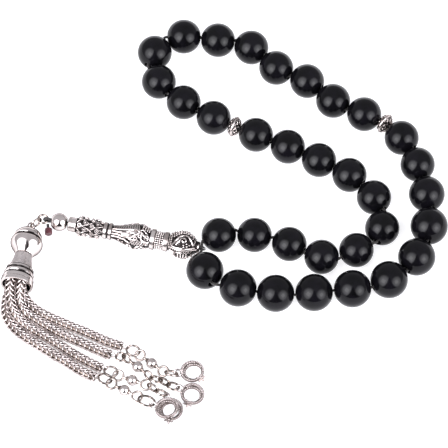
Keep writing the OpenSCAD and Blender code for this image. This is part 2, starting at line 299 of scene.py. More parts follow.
def onyx_stone():
    """Onyx, tumbled and polished: near black, faint cool clouds, a wet gloss with fine wipe marks."""
    made, tree, shader, place = material("polished_onyx")
    clouds = add(
        tree,
        "ShaderNodeTexNoise",
        values={"Scale": 260, "Detail": 4, "Roughness": 0.6},
        links={"Vector": place},
    )
    colour = add(
        tree,
        "ShaderNodeValToRGB",
        links={"Fac": clouds.outputs["Fac"]},
        stops=[(0.35, srgb("#050506")), (0.62, srgb("#0b0a0e"))],
    )
    wipe = add(tree, "ShaderNodeTexNoise", values={"Scale": 900, "Detail": 2}, links={"Vector": place})
    gloss = add(
        tree,
        "ShaderNodeMapRange",
        values={"From Min": 0.3, "From Max": 0.7, "To Min": 0.07, "To Max": 0.12},
        links={"Value": wipe.outputs["Fac"]},
    )
    # Below onyx's own 1.54, so that the rims of the beads stay dark against the white table.
    plug(
        tree,
        shader,
        values={"IOR": 1.25},
        links={"Base Color": colour.outputs["Color"], "Roughness": gloss.outputs["Result"]},
    )
    return made


def silver(name, light, shade, rough, grain=700, depth=0.02, patches=180):
    """Silver, cast or drawn and then buffed: warm grey patches of tarnish, a fine grain, darker edges."""
    made, tree, shader, place = material(name)
    tarnish = add(tree, "ShaderNodeTexNoise", values={"Scale": patches, "Detail": 5}, links={"Vector": place})
    colour = add(
        tree,
        "ShaderNodeValToRGB",
        links={"Fac": tarnish.outputs["Fac"]},
        stops=[(0.35, srgb(shade)), (0.6, srgb(light))],
    )
    fine = add(tree, "ShaderNodeTexNoise", values={"Scale": grain, "Detail": 3}, links={"Vector": place})
    gloss = add(
        tree,
        "ShaderNodeMapRange",
        values={"From Min": 0.3, "From Max": 0.7, "To Min": rough * 0.75, "To Max": rough * 1.35},
        links={"Value": fine.outputs["Fac"]},
    )
    scratches = add(
        tree,
        "ShaderNodeBump",
        values={"Strength": 0.6, "Distance": depth * MM},
        links={"Height": fine.outputs["Fac"]},
    )
    plug(
        tree,
        shader,
        values={"Metallic": 1, "Specular Tint": srgb("#3a322f")},
        links={
            "Base Color": colour.outputs["Color"],
            "Roughness": gloss.outputs["Result"],
            "Normal": scratches.outputs["Normal"],
        },
    )
    return made


def oxidised_silver_and_painted_shade():
    """Silver blackened with liver of sulphur in the sunk ground of the casting: matt, uneven. In the cap's
    hollow it is painted shade.
    """
    made, tree, shader, place = material("oxidised_silver_and_painted_shade")
    spots = add(tree, "ShaderNodeTexVoronoi", values={"Scale": 1300}, links={"Vector": place})
    colour = add(
        tree,
        "ShaderNodeValToRGB",
        links={"Fac": spots.outputs["Distance"]},
        stops=[(0.0, srgb("#565050")), (0.45, srgb("#1d1918"))],
    )
    pits = add(
        tree,
        "ShaderNodeBump",
        values={"Strength": 1, "Distance": 0.08 * MM},
        links={"Height": spots.outputs["Distance"]},
    )
    plug(
        tree,
        shader,
        values={"Metallic": 0.85, "Roughness": 0.5},
        links={"Base Color": colour.outputs["Color"], "Normal": pits.outputs["Normal"]},
    )
    return made


def waxed_cord(name, light, dark):
    """Twisted nylon cord drawn through wax: fine plies that catch a dull light."""
    made, tree, shader, place = material(name)
    plies = add(
        tree,
        "ShaderNodeTexWave",
        values={"Scale": 900, "Distortion": 1.5, "Detail": 2},
        links={"Vector": place},
        bands_direction="DIAGONAL",
    )
    colour = add(
        tree,
        "ShaderNodeValToRGB",
        links={"Fac": plies.outputs["Fac"]},
        stops=[(0.2, srgb(dark)), (0.8, srgb(light))],
    )
    twist = add(
        tree,
        "ShaderNodeBump",
        values={"Strength": 1, "Distance": 0.04 * MM},
        links={"Height": plies.outputs["Fac"]},
    )
    plug(
        tree,
        shader,
        values={"Roughness": 0.55, "Sheen Weight": 0.2},
        links={"Base Color": colour.outputs["Color"], "Normal": twist.outputs["Normal"]},
    )
    return made


def table_top():
    """Matt white laminate, spray painted and lit from within a little: even, a trace of orange peel."""
    made, tree, shader, place = material("white_table")
    peel = add(tree, "ShaderNodeTexNoise", values={"Scale": 500, "Detail": 1}, links={"Vector": place})
    shade = add(
        tree,
        "ShaderNodeValToRGB",
        links={"Fac": peel.outputs["Fac"]},
        stops=[(0.3, srgb("#b9b9bb")), (0.7, srgb("#bfbfc1"))],
    )
    plug(
        tree,
        shader,
        values={
            "Emission Color": srgb("#fbfbfc"),
            "Emission Strength": 0.8,
            "Roughness": 0.9,
            "Specular IOR Level": 0.1,
        },
        links={"Base Color": shade.outputs["Color"]},
    )
    return made


onyx = onyx_stone()
bright_cast = silver("antique_silver_high_spots", "#d6cecb", "#a59b97", 0.2, grain=900, depth=0.03)
oxide_and_shade = oxidised_silver_and_painted_shade()
mirror_silver = silver("polished_silver_plate", "#d8d0cd", "#c0b7b4", 0.08, depth=0.004)
satin_silver = silver("satin_brushed_silver", "#d8d0ce", "#b5acaa", 0.3)
ring_silver = silver("drawn_silver_wire", "#aca19b", "#7d726c", 0.16, depth=0.01)
chain_silver = silver("knitted_silver_wire", "#e0d6d3", "#b8adaa", 0.3, grain=1500, patches=420)
# The chain's core is a darker silver: painted shade inside the knitted chain, seen between the stitches.
chain_core_painted_shade = silver("knitted_chain_inside_painted_shade", "#756a64", "#534943", 0.45, grain=1500, patches=420)
beaded = silver("beaded_cast_silver", "#d2c9c7", "#aba19f", 0.22, grain=1200, patches=500)
charm_ground = silver(
    "tarnished_charm_ground", "#948985", "#665b57", 0.35, grain=1200, depth=0.03, patches=600
)
cord_black = waxed_cord("waxed_black_cord", "#2a2523", "#0c0a0a")
cord_red = waxed_cord("sealed_wine_cord_end", "#561223", "#300911")
white_table = table_top()

# --- Knitted chains ---

STITCH = 1.55
CHAIN_SPREAD = 1.36
STITCH_WIRE_R = 0.235
CORE_R = 0.74
CLOSING_WIRE = 0.42
CLOSING_ROOM = 0.32
# One V loop: angle about the chain, place along it, distance from its middle.
STITCH_LOOP = [
    (-36, -0.3, 0.84), (-40, 0.3, 0.97), (-30, 0.95, 1.02), (-9, STITCH, 0.96),
    (9, STITCH, 0.96), (30, 0.95, 1.02), (40, 0.3, 0.97), (36, -0.3, 0.84),
]
CHAIN_WAYS = [
    [
        (-57.25, -36.75, 3.25), (-57.75, -39, 3.1), (-57.75, -41.25, 2.75), (-56.5, -43.75, 2.1),
        (-54.25, -46, 1.6), (-51, -48, 1.3), (-47.5, -49.75, 1.3), (-44, -51.5, 1.3),
        (-40.5, -53, 1.3), (-37, -54.75, 1.3), (-33.5, -56.5, 1.3), (-29, -58.25, 1.3),
    ],
    [
        (-57.25, -37, 6.2), (-57.75, -39.25, 6), (-58.25, -42, 5.25), (-58.25, -45, 3.75),
        (-56.5, -47.75, 2.25), (-53.25, -49.75, 1.6), (-49.75, -52, 1.3), (-46, -54.25, 1.3),
        (-42.5, -56, 1.3), (-38.5, -58, 1.3), (-34.5, -60, 1.3), (-32.25, -61, 1.3),
    ],
    [
        (-60.25, -36.25, 6.2), (-60.75, -38.5, 6), (-61.25, -41.25, 5.4), (-61, -44.75, 4.6),
        (-60, -48, 3.2), (-57.5, -50.75, 2), (-54, -53, 1.4), (-50, -55.5, 1.3),
        (-46.5, -58, 1.3), (-43, -60.5, 1.3), (-39, -63, 1.3), (-34.75, -65.25, 1.3),
    ],
    [
        (-60.25, -36, 3.25), (-60.75, -38.25, 3.1), (-61.5, -41, 2.5), (-62.25, -44, 1.75),
        (-62.25, -47.5, 1.3), (-60.5, -51.25, 1.3), (-57.25, -54.5, 1.3), (-53.5, -57.25, 1.3),
        (-49.25, -60.25, 1.3), (-45, -63, 1.3), (-40.75, -66, 1.3), (-36.5, -68.25, 1.3),
    ],
]


def way_length(points):
    return sum((b - a).length for a, b in zip(points, points[1:]))


def knitted_stitch():
    """One row of the chain: four V loops round a core, each V's point lying on the next row."""
    loops = []
    for column in range(4):
        middle = 90 * column + 45
        points = []
        for turn, along, radius in STITCH_LOOP:
            a = math.radians(middle + turn)
            points.append((along, CHAIN_SPREAD * radius * math.cos(a), radius * math.sin(a)))
        loops.append(wire(curve(points, 1), STITCH_WIRE_R))
    return smooth(join("stitch", loops), 60)


def bent_along(straight, way):
    """Bends a piece that runs along X so that it follows a way."""
    guide = line(way)
    guide.data.twist_mode = "Z_UP"
    bend = straight.modifiers.new("bend", "CURVE")
    bend.object = guide
    bend.deform_axis = "POS_X"
    pick(straight)
    bpy.ops.object.modifier_apply(modifier="bend")
    bpy.data.objects.remove(guide)
    return straight


def closing_loop(k, way):
    """The last loop of a chain, closed round the near side of the end ring's wire."""
    near = pendants[k].end_ring - END_RING_RS[k] * bearing(END_TURNS[k])
    reach = near - way[-1]
    loop = ring(reach.length / 2 + CLOSING_ROOM, CLOSING_WIRE, 28, 8)
    settle(loop, facing(way[-1] + reach / 2 + 0.1 * reach.normalized(), reach.cross(UP)))
    return paint(loop, chain_silver)


def knitted_chain(k):
    """Rows of stitches round a core, bent along the chain's way."""
    way = curve(CHAIN_WAYS[k], 4)
    length = way_length(way)
    chain = knitted_stitch()
    rows = chain.modifiers.new("rows", "ARRAY")
    rows.count = round(length / STITCH)
    rows.use_relative_offset = False
    rows.use_constant_offset = True
    rows.constant_offset_displace = ((length - 0.2) / rows.count * MM, 0, 0)
    pick(chain)
    bpy.ops.object.modifier_apply(modifier="rows")
    core = wire([(length * i / 60, 0, 0) for i in range(61)], CORE_R, round_steps=2)
    core.scale = (1, CHAIN_SPREAD * 1.05, 1)
    settle(core)
    paint(chain, chain_silver)
    # The core takes the darker silver as painted shade.
    paint(core, chain_core_painted_shade)
    chain = bent_along(join("knitted_chain_%d" % (k + 1), [chain, core]), way)
    return join(chain.name, [chain, closing_loop(k, way)])


# --- Pendants: end ring, ball link, jump rings and charm ---

# WIRE is the size the rings are spaced for, DRAWN the thickness that is seen.
WIRE = 0.55
DRAWN = 0.64
JUMP_R = 1.9
LINK_BALL_R = 1.55
LINK_EYE_R = 1.45
BALL_TO_EYE = 4.2
CHARM_EYE_R = 1.0
CRESCENT_R = 3.4
CHARM_W = 1.1
CHARM_REACH = CRESCENT_R + 0.7
PLAY = 0.3
NECK = [
    (1.35, 0.0), (1.35, 0.62), (1.6, 0.7), (1.8, 0.6), (1.95, 0.4), (2.35, 0.36), (2.6, 0.42),
    (2.9, 0.3), (2.9, 0.0),
]
HOLE_R = 2.2
HOLE_OFF = 0.5
CHARM_FACE = CHARM_W * 0.4 - 0.1
LINK_BALLS = [(-20.6, -63.7), (-24.6, -65.1), (-26.1, -69.2), (-28.3, -72.4)]
END_TURNS = [-38, -24, -32, -42]
END_ROLLS = [-14, 0, -16, -20]
END_RING_RS = [JUMP_R, 1.3, JUMP_R, JUMP_R]
LINK_TURNS = [-38, -41, -21, -29]
LINK_ROLLS = [22, 75, 18, 15]
LINK_Z = [1.6, 2.1, 1.6, 1.6]
RING_TURNS = [[-15], [-25, -25, -25], [-30, -30], [-28]]
RING_ROLLS = [[-42], [-40, 90, -30], [90, -42], [-30]]
RING_RS = [1.75, 1.75, 1.75, 2.4]
RING_Z = 1.6
UPRIGHT_Z = 2.1
EYE_TURNS = [0, -25, -38, -44]
CHARM_TURNS = [6, -22, -71, -16]
EYE_ROLLS = [42, 32, 46, 42]
STAR_TURNS = [-43, -112, -100, -80]
CHARM_Z = [1.9, 1.3, 1.05, 2.75]


def hang(r1, r2):
    """How far apart two linked rings' middles lie."""
    return r1 + r2 - WIRE - PLAY


def level(point, z):
    return Vector((point[0], point[1], z))


class Pendant:
    """Places of one chain's end ring, link, further rings and charm."""

    def __init__(self, k):
        along = bearing(LINK_TURNS[k])
        self.ball = level(LINK_BALLS[k], LINK_Z[k])
        self.near_eye = self.ball - BALL_TO_EYE * along
        self.far_eye = self.ball + BALL_TO_EYE * along
        end_ring = self.near_eye - hang(END_RING_RS[k], LINK_EYE_R) * bearing(END_TURNS[k])
        self.end_ring = level(end_ring, RING_Z)
        self.rings = []
        last, last_r = self.far_eye, LINK_EYE_R
        for turn, roll in zip(RING_TURNS[k], RING_ROLLS[k]):
            z = UPRIGHT_Z if roll == 90 else RING_Z
            last = level(last + hang(RING_RS[k], last_r) * bearing(turn), z)
            last_r = RING_RS[k]
            self.rings.append((last, turn, roll))
        eye = last + hang(last_r, CHARM_EYE_R) * bearing(EYE_TURNS[k])
        self.eye = level(eye, RING_Z + (CHARM_Z[k] - RING_Z) * 0.4)
        self.charm = level(self.eye + CHARM_REACH * bearing(CHARM_TURNS[k]), CHARM_Z[k])


pendants = [Pendant(k) for k in range(CHAINS)]


def ball_link(k):
    """Cast link: a ball between two eyes, with a collar where each neck meets the ball."""
    parts = [paint(ball(LINK_BALL_R, 32, 16), mirror_silver)]
    for end in (-1, 1):
        eye = ring(LINK_EYE_R, DRAWN, 40, 12)
        parts.append(settle(eye, Matrix.Translation((end * BALL_TO_EYE * MM, 0, 0))))
        parts.append(settle(lathe(NECK, 20), Matrix.Rotation(math.radians(90 * end), 4, "Y")))
    for part in parts[1:]:
        paint(part, ring_silver)
    link = smooth(join("ball_link_cast_%d" % (k + 1), parts), 40)
    return settle(link, laid(pendants[k].ball, LINK_TURNS[k], LINK_ROLLS[k]))


def beads_on(points, radius):
    """Small half-sunk balls at points, each with a handful of faces."""
    model = ball(radius, 8, 5)
    return copies(model, [Matrix.Translation(Vector(p) * MM) for p in points])


def around(radius, angle, z, middle=0.0):
    return (middle + radius * math.cos(angle), radius * math.sin(angle), z)


def crescent_plate():
    """A disc with an off-centre hole, its edges rounded over."""
    pick()
    bpy.ops.mesh.primitive_circle_add(vertices=72, radius=CRESCENT_R * MM)
    plate = bpy.context.object
    pick()
    bpy.ops.mesh.primitive_circle_add(vertices=72, radius=HOLE_R * MM, location=(HOLE_OFF * MM, 0, 0))
    plate = join("crescent", [plate, bpy.context.object])
    bpy.ops.object.mode_set(mode="EDIT")
    bpy.ops.mesh.select_all(action="SELECT")
    bpy.ops.mesh.bridge_edge_loops()
    bpy.ops.mesh.select_all(action="SELECT")
    bpy.ops.mesh.extrude_region_move(TRANSFORM_OT_translate={"value": (0, 0, CHARM_W * 0.8 * MM)})
    bpy.ops.mesh.select_all(action="SELECT")
    bpy.ops.transform.translate(value=(0, 0, -CHARM_W * 0.4 * MM))
    bpy.ops.mesh.normals_make_consistent(inside=False)
    bpy.ops.object.mode_set(mode="OBJECT")
    settle(plate)
    edge = plate.modifiers.new("edge", "BEVEL")
    edge.width = 0.16 * MM
    edge.segments = 2
    edge.angle_limit = math.radians(50)
    pick(plate)
    bpy.ops.object.modifier_apply(modifier="edge")
    return paint(plate, charm_ground)


def crescent_beading():
    """Small beads on both faces: round the rim, round the hole, and along the broad back."""
    spots = []
    for side in (-1, 1):
        for i in range(38):
            a = 2 * math.pi * (i + 0.5) / 38
            spots.append(around(CRESCENT_R - 0.3, a, side * CHARM_FACE))
        for i in range(24):
            a = 2 * math.pi * (i + 0.5) / 24
            if abs(a - math.pi) < 1.9:
                spots.append(around(HOLE_R + 0.27, a, side * CHARM_FACE, HOLE_OFF))
        for i in range(13):
            a = math.pi + math.radians(-60 + 10 * i)
            spots.append(around(2.72, a, side * (CHARM_FACE + 0.05)))
    return [paint(one, beaded) for one in beads_on(spots, 0.23)]


def crescent_rim(radius, middle):
    """A rounded band as high as the charm is thick."""
    rim = ring(radius, 0.2, 72, 6)
    rim.scale = (1, 1, CHARM_W / 0.2)
    return paint(settle(rim, Matrix.Translation((middle * MM, 0, 0))), beaded)


def star(side):
    """A five-pointed pyramid on one face: every other corner of a cone's foot is drawn in."""
    foot, height = 1.62, 0.62
    pick()
    bpy.ops.mesh.primitive_cone_add(
        vertices=10, radius1=foot * MM, depth=height * MM, location=(0, 0, height / 2 * MM)
    )
    point = bpy.context.object
    bpy.ops.object.mode_set(mode="EDIT")
    bpy.ops.mesh.select_all(action="DESELECT")
    bpy.ops.object.mode_set(mode="OBJECT")
    for vertex in point.data.vertices:
        place = vertex.co
        turn = round(math.degrees(math.atan2(place.x, place.y)) / 36) % 2
        vertex.select = place.z < 0 and turn == 1
    bpy.ops.object.mode_set(mode="EDIT")
    bpy.ops.transform.resize(value=(0.45, 0.45, 1))
    bpy.ops.object.mode_set(mode="OBJECT")
    turned = Matrix.Rotation(math.radians(-90), 4, "Z")
    if side < 0:
        turned = Matrix.Rotation(math.pi, 4, "X") @ turned
    settle(point, Matrix.Translation((CRESCENT_R * MM, 0, side * 0.05 * MM)) @ turned)
    dots = [around(0.85, math.radians(72 * i), side * 0.42, CRESCENT_R) for i in range(5)]
    dots.append((CRESCENT_R, 0, side * 0.56))
    return [paint(point, charm_ground)] + [paint(one, beaded) for one in beads_on(dots, 0.24)]


def crescent_charm(k):
    """Crescent with beaded faces, a star between its horns, and the eye it hangs by."""
    parts = [crescent_plate()] + crescent_beading()
    parts += [crescent_rim(CRESCENT_R - 0.07, 0), crescent_rim(HOLE_R + 0.06, HOLE_OFF)]
    parts += star(-1) + star(1)
    charm = join("crescent_star_charm_%d" % (k + 1), parts)
    eye_place = Matrix.Rotation(math.radians(CHARM_TURNS[k] - STAR_TURNS[k]), 4, "Z")
    eye_place = eye_place @ Matrix.Translation((-CHARM_REACH * MM, 0, 0))
    eye_place = eye_place @ Matrix.Rotation(math.radians(EYE_ROLLS[k]), 4, "X")
    eye = paint(settle(ring(CHARM_EYE_R, DRAWN, 32, 10), eye_place), beaded)
    charm = smooth(join(charm.name, [charm, eye]), 40)
    p = pendants[k]
    lean = math.asin((p.eye.z - p.charm.z) / CHARM_REACH)
    place = (
        Matrix.Translation(p.charm * MM)
        @ Matrix.Rotation(math.radians(CHARM_TURNS[k]), 4, "Z")
        @ Matrix.Rotation(lean, 4, "Y")
        @ Matrix.Rotation(math.radians(STAR_TURNS[k] - CHARM_TURNS[k]), 4, "Z")
    )
    return settle(charm, place)


for k in range(CHAINS):
    p = pendants[k]
    chain = belongs(knitted_chain(k), "tassel", "knitted_chain", "chain_%d" % (k + 1))
    end_ring = settle(cut_ring(END_RING_RS[k], DRAWN, 140), laid(p.end_ring, END_TURNS[k], END_ROLLS[k]))
    end_ring.name = "end_ring_%d" % (k + 1)
    belongs(paint(end_ring, ring_silver), "tassel", "ring_wire")
    link = ball_link(k)
    belongs(link, "tassel", "polished_silver", "ball_link_%d" % (k + 1))
    loops = []
    for at, turn, roll in p.rings:
        loops.append(settle(cut_ring(RING_RS[k], DRAWN, 60), laid(at, turn, roll)))
    rings = paint(join("pendant_rings_%d" % (k + 1), loops), ring_silver)
    belongs(rings, "tassel", "ring_wire", "charm_rings_%d" % (k + 1))
    charm = crescent_charm(k)
    belongs(charm, "charm_%d_body" % (k + 1), "beaded_silver", "charm_%d" % (k + 1))
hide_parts("end_rings")

# --- Beads ---


def cad_middle(node):
    low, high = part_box(node)
    return (Vector(low) + Vector(high)) / 2 / MM


def cad_size(node):
    low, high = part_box(node)
    return max(Vector(high) - Vector(low)) / MM


turn_axes = {joint["child"]: Vector(joint["axis"]) for joint in frame["joints"]}
bead_at = [cad_middle("bead_%02d" % (i + 1)) for i in range(BEADS)]
bead_r = [round(cad_size("bead_%02d" % (i + 1)), 1) / 2 for i in range(BEADS)]
bead_dir = [turn_axes["bead_%02d_body" % (i + 1)] for i in range(BEADS)]
BORE_R = 1.0


def drilled_ball(radius, bore_r, steps):
    """A ball turned with its bore, and a rounded lip where the drill broke through."""
    lip = 0.32
    top = math.asin((bore_r + lip) / radius)
    profile = []
    for i in range(33):
        a = top + (math.pi - 2 * top) * i / 32
        profile.append((radius * math.cos(a), radius * math.sin(a)))
    reach = radius * math.cos(top)
    rim = [(reach + 0.02, bore_r + 0.18), (reach - 0.08, bore_r + 0.05), (reach - 0.3, bore_r)]
    shell = rim[::-1] + profile + [(-s, r) for s, r in rim]
    shell.append(shell[0])
    return smooth(lathe(shell, steps), 50)


for size in sorted(set(bead_r)):
    numbers = [i for i in range(BEADS) if bead_r[i] == size]
    places = [facing(bead_at[i], bead_dir[i]) for i in numbers]
    for i, bead in zip(numbers, copies(drilled_ball(size, BORE_R, 64), places)):
        name = "bead_%02d" % (i + 1)
        bead.name = "polished_" + name
        belongs(paint(settle(bead), onyx), name + "_body", "onyx", name)

# --- Head bead: a lathe-turned core under cast relief ---

HEAD_LEN = 38.5
HEAD_TURN = -12.0
HEAD_Z = 4.15
head_dir = bearing(HEAD_TURN)
mouth = Vector((-7.1, -27.3, HEAD_Z))
# The ornament's zero angle faces up and to the front.
head_place = facing(mouth - HEAD_LEN * head_dir, head_dir, toward_camera)
HEAD_BORE_R = 1.15
CARVED = [(2.35, 10.35), (12.85, 24.25), (25.55, 28.15), (29.45, 38.0)]
SUNK = 0.3
HEAD_OUTLINE = [
    (0, 1.85), (0.25, 2.1), (2.2, 2.1), (2.4, 2.25), (3.3, 2.85), (4.3, 2.95), (5.3, 2.75), (6.3, 2.35),
    (7.1, 2.75), (7.9, 2.85), (8.9, 2.65), (10.3, 2.2), (10.4, 2.4), (11.4, 2.4), (11.5, 2.15),
    (11.8, 2.15), (11.9, 2.4), (12.8, 2.4), (12.9, 2.2), (14.6, 2.3), (16.6, 2.75), (18.4, 3.4),
    (20.2, 3.88), (21.8, 3.75), (23.2, 3.1), (24.2, 2.75), (24.3, 3), (25.5, 3), (25.6, 2.55),
    (28.1, 2.5), (28.2, 2.8), (29.4, 2.8), (29.5, 2.5), (31, 3.35), (33, 4.05), (34.8, 4), (36.4, 3.1),
    (37.6, 2.1), (HEAD_LEN, 1.6),
]


def head_r(t):
    """Radius of the head bead's outline at t."""
    for (t0, r0), (t1, r1) in zip(HEAD_OUTLINE, HEAD_OUTLINE[1:]):
        if t0 <= t <= t1:
            f = (t - t0) / (t1 - t0)
            soft = f * f * (3 - 2 * f) if t1 - t0 > 0.7 else f
            return r0 + (r1 - r0) * soft
    return HEAD_OUTLINE[-1][1]


def carved(t):
    return any(low < t < high for low, high in CARVED)


def on_head(t, angle, lift=0.0):
    """Point on the carved ground: angle 0 faces up and forward, lift is height above the ground."""
    r = head_r(t) - SUNK + lift
    a = math.radians(angle)
    return Vector((r * math.cos(a), r * math.sin(a), t))


def trace(points, radius, closed=False, lift=0.1, steps=4):
    """A raised wire that follows (t, angle) points round the head bead."""
    flat = curve([(t, a / 20, 0) for t, a in points], steps, closed)
    return wire([on_head(p.x, p.y * 20, lift) for p in flat], radius, closed)


def knobs(model, spots, lift=0.1):
    """Copies of a small model, its Z outwards, at (t, angle) spots."""
    places = []
    for t, angle in spots:
        a = math.radians(angle)
        outward = Vector((math.cos(a), math.sin(a), 0))
        places.append(facing(on_head(t, angle, lift), outward, (0, 0, 1)))
    return copies(model, places)


def square_knob(side, height):
    pick()
    bpy.ops.mesh.primitive_cube_add(size=side * MM)
    knob = bpy.context.object
    knob.scale = (1, 1, height / side)
    settle(knob)
    edge = knob.modifiers.new("edge", "BEVEL")
    edge.width = side * 0.22 * MM
    edge.segments = 1
    pick(knob)
    bpy.ops.object.modifier_apply(modifier="edge")
    return knob


def turned_core():
    """The head bead's outline turned round its bore, sunk where the relief lies on it."""
    outline = []
    for i in range(281):
        t = HEAD_LEN * i / 280
        outline.append((t, head_r(t) - (SUNK if carved(t) else 0)))
    start = [(0.25, HEAD_BORE_R), (0, HEAD_BORE_R + 0.3)]
    end = [(HEAD_LEN - 0.05, HEAD_BORE_R + 0.2), (HEAD_LEN - 0.5, HEAD_BORE_R), (0.25, HEAD_BORE_R)]
    core = paint(smooth(lathe(start + outline + end, 96), 40), bright_cast, oxide_and_shade)
    for face in core.data.polygons:
        t = face.center.z / MM
        in_bore = math.hypot(face.center.x, face.center.y) / MM < HEAD_BORE_R + 0.1
        face.material_index = 1 if in_bore or carved(t) or 11.42 < t < 11.88 else 0
    return core


def stem_relief():
    """Rows of small eyes, a ring round a dot, set between crossed petals."""
    rows = [(3.5, -4), (5.0, 18), (7.2, -8), (8.7, 14)]
    eyes = [(t, 45 * i + turn) for t, turn in rows for i in range(8)]
    made = knobs(ring(0.5, 0.3, 12, 6), eyes, 0.3)
    made += knobs(ball(0.27, 8, 6), eyes, 0.34)
    for low, high in [(2.5, 6.2), (6.3, 10.2)]:
        middle = (low + high) / 2
        for i in range(8):
            a = 45 * i
            made.append(trace([(low, a + 20), (middle, a + 42), (high, a + 62)], 0.13))
            made.append(trace([(low, a + 20), (middle, a - 3), (high, a - 22)], 0.13))
    return made


def vase_relief(h):
    """Feathered band, smooth wavy bands that open into a leaf, diamonds, lattice and scrolls."""
    made = []
    for i in range(15):
        t = 13.2 + 0.52 * i
        made.append(trace([(t, h - 60), (t + 0.5, h - 31)], 0.15, lift=0.14, steps=2))
    for edge in (-62, -28):
        border = [(13.1, h + edge), (17, h + edge - 2), (21, h + edge - 4)]
        made.append(trace(border, 0.17, lift=0.16))
    left_band = [(13.1, h - 12), (15, h - 8), (17, h - 10), (18.6, h - 24), (20, h - 30), (21.2, h - 22)]
    right_band = [(13.1, h + 12), (15, h + 12), (17, h + 16), (18.6, h + 12), (20, h - 2), (21.2, h - 22)]
    outer_band = [(13.1, h + 34), (15, h + 32), (17, h + 34), (18.6, h + 44)]
    for band, radius in [(left_band, 0.34), (right_band, 0.34), (outer_band, 0.28)]:
        made.append(trace(band, radius, lift=0.2))
    made += knobs(ball(0.95, 16, 10, (2.1, 0.95, 0.4)), [(17.6, h + 1)], 0.14)
    made += knobs(ball(0.7, 16, 10, (1.7, 0.9, 0.4)), [(19.4, h - 16)], 0.14)
    made.append(trace([(21.3, h - 26), (22.2, h - 33), (23.5, h - 16), (22.5, h - 9)], 0.24, True, 0.2))
    leaf = [(21.7, h - 12), (22.6, h - 4), (23.9, h + 6), (22.9, h + 18), (21.8, h + 12)]
    made.append(trace(leaf, 0.2, True, 0.18))
    diamonds = [(21.9 + 0.62 * j, h - 78 + 9 * i) for i in range(5) for j in range(4)]
    made += knobs(square_knob(0.42, 0.42), diamonds, 0.14)
    curls = [(20.2, h + 10), (21.3, h - 2), (22.8, h + 34), (21.4, h + 30), (23.4, h - 3)]
    made += knobs(ring(0.4, 0.26, 10, 6), curls, 0.16)
    dots = [(20.9, h + 17), (22.7, h + 6), (22, h - 20), (18.9, h + 3), (19.9, h - 3)]
    made += knobs(ball(0.24, 8, 5), dots, 0.14)
    for i in range(7):
        t = 18.6 + 0.75 * i
        made.append(trace([(t, h + 22), (t + 0.9, h + 46)], 0.14, lift=0.14, steps=2))
        made.append(trace([(t + 0.9, h + 22), (t, h + 46)], 0.14, lift=0.14, steps=2))
    made.append(trace([(18.2, h + 20), (20.5, h + 18), (22.3, h + 24), (24, h + 30)], 0.22, lift=0.2))
    spiral = []
    for i in range(12):
        turn = 0.62 * i
        t = 18.4 + (1.7 - 0.13 * i) * math.cos(turn)
        spiral.append((t, h + 70 + (24 - 1.8 * i) * math.sin(turn)))
    made.append(trace(spiral, 0.24, lift=0.18, steps=2))
    made.append(trace([(20.3, h + 60), (21.6, h + 50), (22.8, h + 64), (21.6, h + 80)], 0.24, True, 0.18))
    studs = [(21.6, h + 64), (23.4, h + 44), (23.4, h + 84), (16.4, h + 62), (15.2, h + 56)]
    made += knobs(ball(0.32, 8, 6), studs, 0.12)
    made.append(trace([(13.1, h + 58), (14.8, h + 68), (16.4, h + 84), (18, h + 100)], 0.24, lift=0.18))
    return made


def grid_relief():
    """Four rows of square knobs."""
    spots = [(25.92 + 0.63 * j, 15 * i + 3) for i in range(24) for j in range(4)]
    return knobs(square_knob(0.5, 0.5), spots, 0.12)


def bulb_relief(h):
    """A smooth-bordered paisley with a comma inside, dotted panels and a hatched edge."""
    paisley = [
        (30.9, h + 14), (31.9, h - 12), (33, h - 34), (34.7, h - 42), (36.1, h - 30), (36.9, h - 4),
        (37.1, h + 14), (34, h + 19),
    ]
    comma = [
        (32.2, h + 6), (32.7, h - 8), (33.2, h - 22), (34.2, h - 28), (34.8, h - 18), (34.2, h - 10),
        (33.7, h - 16),
    ]
    made = [trace(paisley, 0.3, True, 0.22), trace(comma, 0.27, lift=0.2)]
    seeds = [(34.3, h + 2), (35.1, h - 5), (35.3, h + 6), (34.4, h + 10), (35.9, h - 1)]
    made += knobs(ball(0.3, 8, 6), seeds, 0.14)
    made.append(trace([(29.6, h + 24), (33, h + 27), (37.9, h + 24)], 0.22, lift=0.2))
    for i in range(11):
        t = 30 + 0.66 * i
        made.append(trace([(t, h + 29), (t, h + 38)], 0.15, lift=0.14, steps=2))
    panel = [(32.2, h + 42), (36.2, h + 42), (36.2, h + 74), (32.2, h + 74)]
    made.append(trace(panel, 0.22, True, 0.2, 2))
    dots = [(33 + 0.8 * j, h + 48 + 10 * i) for i in range(3) for j in range(4)]
    made += knobs(ball(0.3, 8, 6), dots, 0.14)
    squares = [
        (0.36, 0.4, 0.12, [(37.3 - 0.03 * i, h - 84 + 12 * i) for i in range(9)]),
        (0.4, 0.4, 0.12, [(36.5 + 0.1 * (i % 2), h - 86 + 10 * i) for i in range(5)]),
        (0.44, 0.45, 0.14, [(30.2 + 0.68 * j, h - 92 + 11 * i) for i in range(4) for j in range(9)]),
        (0.4, 0.42, 0.14, [(29.9 + 0.58 * j, h - 48 + 10 * i) for i in range(7) for j in range(2)]),
        (0.42, 0.42, 0.14, [(31.2 + 0.62 * j, h - 46 + 9 * i - 5 * j) for i in range(2) for j in range(5)]),
    ]
    for side, height, lift, spots in squares:
        made += knobs(square_knob(side, height), spots, lift)
    for i in range(6):
        a = h + 46 + 7 * i
        made.append(trace([(30.2, a), (31.6, a)], 0.14, lift=0.14, steps=2))
    return made


head_core = settle(turned_core(), head_place)
head_core.name = "head_bead_core"
# The vase's and the bulb's ornament goes twice round.
relief = stem_relief() + vase_relief(0) + vase_relief(180)
relief += grid_relief() + bulb_relief(0) + bulb_relief(180)
relief = settle(smooth(join("head_bead_relief", relief), 60), head_place)
belongs(head_core, "string", "antique_silver", "imame")
belongs(paint(relief, bright_cast), "string", "antique_silver")

# --- Ball, link rings and cap ---

BALL_R = 2.6
ball_t = -0.12 - BALL_R


